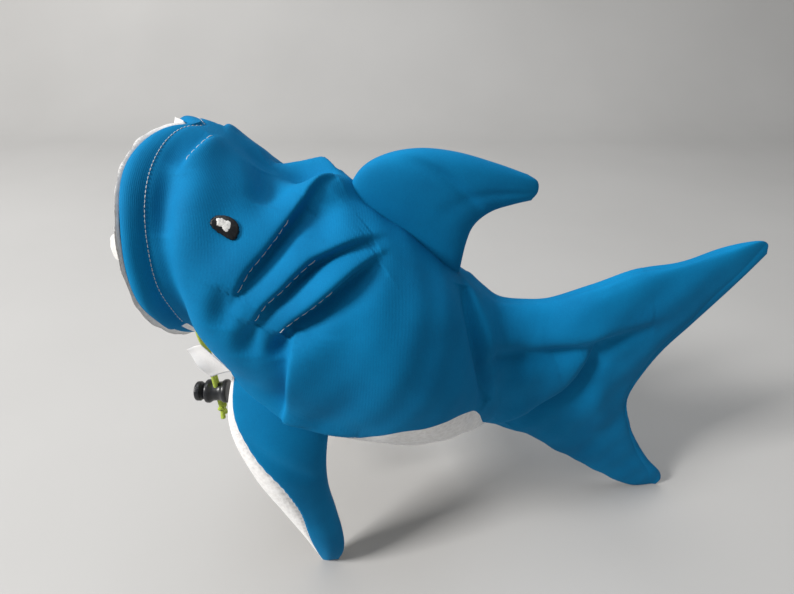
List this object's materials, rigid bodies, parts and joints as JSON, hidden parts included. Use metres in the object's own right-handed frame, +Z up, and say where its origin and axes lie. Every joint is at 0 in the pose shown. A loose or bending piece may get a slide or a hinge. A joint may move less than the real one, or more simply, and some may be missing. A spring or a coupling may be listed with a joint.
{
  "type": "plush shark",
  "caption": "Sewn plush shark with an open lined mouth, a drawstring hem with a cord lock, standing on two front fins and its tail.",
  "frame": {"origin": "centre of the bounding box's base, on the floor that the fin tips and the tail's lower lobe stand on", "axes": "+X from the nose to the tail along the shark, +Y to the shark's right side, +Z up"},
  "size_m": [0.363, 0.153, 0.296],
  "materials": {
    "teal_knit": "smooth stretch knit, slight sheen",
    "white_fleece": "short fleece",
    "white_felt": "felt",
    "black_felt": "felt",
    "fibrefill": "loose polyester fill",
    "lime_elastic": "braided elastic",
    "black_plastic": "moulded, satin",
    "spring_steel": "drawn wire",
    "label_satin": "woven satin ribbon"
  },
  "bodies": {
    "trunk": {"body_stuffing": "fibrefill", "left_side_panel": "teal_knit", "right_side_panel": "teal_knit", "belly_panel": "white_fleece", "mouth_lining": "white_fleece", "mouth_hem": "teal_knit", "upper_teeth": "white_felt", "lower_teeth": "white_felt", "left_eye": "black_felt", "right_eye": "black_felt", "left_eye_glint": "white_felt", "right_eye_glint": "white_felt", "left_gill_tucks": "teal_knit", "right_gill_tucks": "teal_knit", "nostril_tucks": "teal_knit", "rim_drawstring": "lime_elastic", "drawstring_left_end": "lime_elastic", "drawstring_right_end": "lime_elastic", "drawstring_knot": "lime_elastic"},
    "tail": {"tail_stuffing": "fibrefill", "tail_left_panel": "teal_knit", "tail_right_panel": "teal_knit"},
    "left_fin": {"left_fin_stuffing": "fibrefill", "left_fin_top": "teal_knit", "left_fin_under": "white_fleece"},
    "right_fin": {"right_fin_stuffing": "fibrefill", "right_fin_top": "teal_knit", "right_fin_under": "white_fleece"},
    "dorsal_fin": {"dorsal_stuffing": "fibrefill", "dorsal_left_panel": "teal_knit", "dorsal_right_panel": "teal_knit"},
    "cord_lock": {"lock_barrel": "black_plastic", "lock_spring": "spring_steel"},
    "plunger": {"lock_plunger": "black_plastic"},
    "label": {"label": "label_satin"}
  },
  "joints": [
    {"name": "tail_wag", "type": "hinge", "parent": "trunk", "child": "tail", "pos_m": [0.0458, 0, 0.131], "axis": [0, 0, 1], "range_deg": [-30, 30], "stiffness_Nm_per_rad": 1},
    {"name": "left_fin_flap", "type": "hinge", "parent": "trunk", "child": "left_fin", "pos_m": [-0.131, -0.05976, 0.16279], "axis": [-0.8285, 0.175, 0.5319], "range_deg": [-8, 65], "stiffness_Nm_per_rad": 2},
    {"name": "right_fin_flap", "type": "hinge", "parent": "trunk", "child": "right_fin", "pos_m": [-0.131, 0.05976, 0.16279], "axis": [0.8285, 0.175, -0.5319], "range_deg": [-8, 65], "stiffness_Nm_per_rad": 2},
    {"name": "dorsal_flop", "type": "hinge", "parent": "trunk", "child": "dorsal_fin", "pos_m": [-0.06431, 0, 0.26641], "axis": [0.7929, 0, -0.6093], "range_deg": [-35, 35], "stiffness_Nm_per_rad": 0.2},
    {"name": "lock_slide", "type": "slide", "parent": "trunk", "child": "cord_lock", "axis": [0, 0, 1], "range_m": [-0.0025, 0.022]},
    {"name": "plunger_press", "type": "slide", "parent": "cord_lock", "child": "plunger", "axis": [1, 0, 0], "range_m": [0, 0.0028], "stiffness_N_per_m": 900, "springref_m": -0.001, "deforming": ["lock_spring"]},
    {"name": "label_swing", "type": "hinge", "parent": "trunk", "child": "label", "pos_m": [-0.147, -0.05407, 0.18968], "axis": [0.691, -0.2029, -0.6938], "range_deg": [-40, 20], "stiffness_Nm_per_rad": 0.002}
  ]
}
